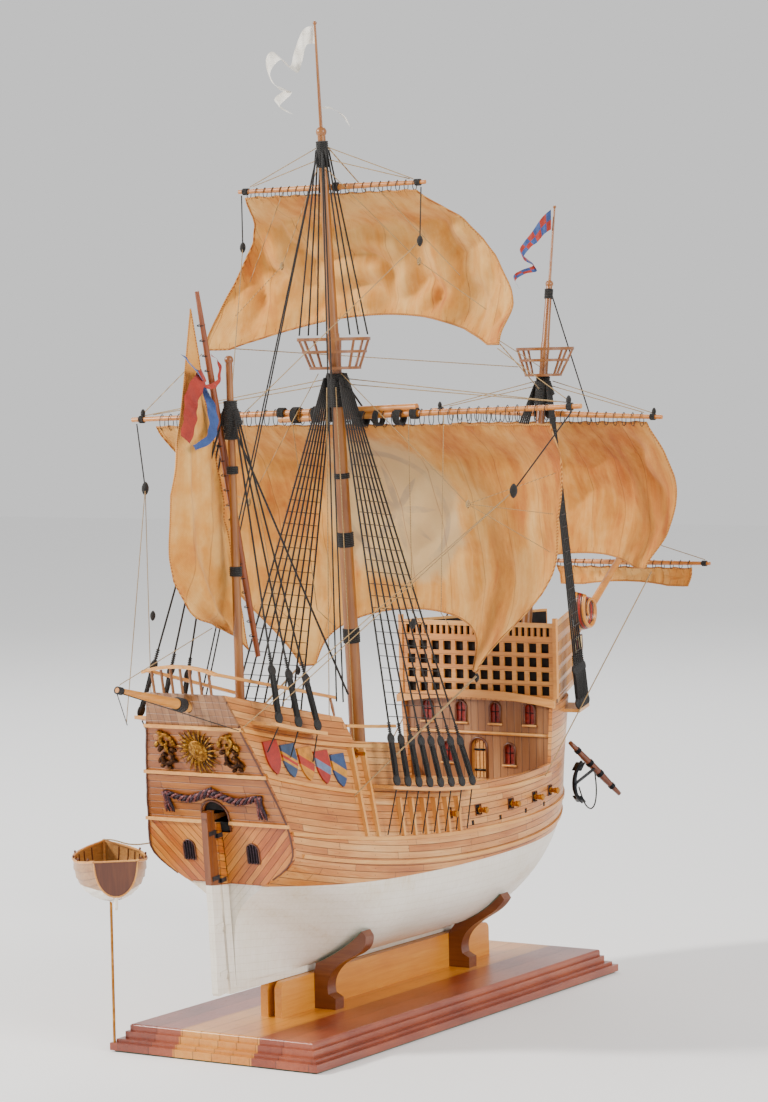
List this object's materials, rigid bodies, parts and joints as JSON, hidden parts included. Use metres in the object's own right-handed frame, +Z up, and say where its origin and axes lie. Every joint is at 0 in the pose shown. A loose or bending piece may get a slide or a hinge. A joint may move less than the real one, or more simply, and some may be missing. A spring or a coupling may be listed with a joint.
{
  "type": "model sailing ship",
  "caption": "Wooden model galleon with masts, bellied sails and rigging, on a moulded board with a cradle and a ship's boat.",
  "frame": {"origin": "centre of the underside of the base board, on the table", "axes": "+X to the ship's bow, +Y to port, +Z up"},
  "size_m": [0.7274, 0.3922, 0.7305],
  "materials": {
    "mahogany": "satin",
    "pale_oak": "satin",
    "green_felt": "matte",
    "dark_wood": "satin",
    "boat_planking": "satin",
    "brass": "polished",
    "pale_rope": "matte",
    "white_paint": "painted satin",
    "ship_planking": "satin varnish",
    "pale_trim": "satin varnish",
    "spar_wood": "satin varnish",
    "sailcloth": "matte",
    "black_rope": "matte",
    "black_iron": "satin",
    "shield_paint": "satin",
    "gilt": "antiqued",
    "pennant_cloth": "matte"
  },
  "bodies": {
    "stand": {"base_centre_strip": "pale_oak", "base_side_strips": "mahogany", "base_felt": "green_felt", "cradle_rails": "pale_oak", "cradle_arms_aft": "dark_wood", "cradle_arms_fore": "dark_wood", "cradle_felt": "green_felt", "dinghy": "boat_planking", "dinghy_rod": "brass", "tow_line": "pale_rope"},
    "ship": {"keel_and_stem": "dark_wood", "hull_frames": "ship_planking", "lower_planking": "white_paint", "upper_planking": "ship_planking", "transom": "ship_planking", "wales": "pale_trim", "fenders": "pale_trim", "main_deck": "ship_planking", "quarterdeck": "ship_planking", "poop_deck": "ship_planking", "cabin_walls": "ship_planking", "forecastle_wall": "ship_planking", "forecastle_deck": "ship_planking", "forecastle_frame": "pale_trim", "forecastle_lattice": "pale_trim", "rails": "pale_trim", "balusters": "pale_trim", "main_mast": "spar_wood", "main_topmast": "spar_wood", "fore_mast": "spar_wood", "fore_topmast": "spar_wood", "mizzen_mast": "spar_wood", "main_top": "spar_wood", "fore_top": "spar_wood", "main_yard": "spar_wood", "topsail_yard": "spar_wood", "fore_yard": "spar_wood", "spritsail_yard": "spar_wood", "mizzen_yard": "spar_wood", "bowsprit": "pale_trim", "boomkin": "pale_trim", "main_course": "sailcloth", "main_topsail": "sailcloth", "fore_course": "sailcloth", "spritsail": "sailcloth", "mizzen_sail": "sailcloth", "channels": "pale_trim", "deadeyes_and_chains": "black_iron", "shrouds": "black_rope", "ratlines_and_lanyards": "black_rope", "gudgeons": "black_iron", "cannons": "brass", "shields": "shield_paint", "carvings": "gilt", "anchor": "black_iron", "anchor_cable": "black_rope", "stays_and_lines": "pale_rope", "pennants": "pennant_cloth"},
    "rudder": {"rudder_blade": "dark_wood", "pintles": "black_iron"}
  },
  "joints": [
    {"name": "lift_off_cradle", "type": "slide", "parent": "stand", "child": "ship", "axis": [0, 0, 1], "range_m": [0, 0.04]},
    {"name": "rudder_swing", "type": "hinge", "parent": "ship", "child": "rudder", "pos_m": [-0.20041, 0, 0.1], "axis": [-0.0979, 0, 0.9952], "range_deg": [-28, 28]}
  ]
}
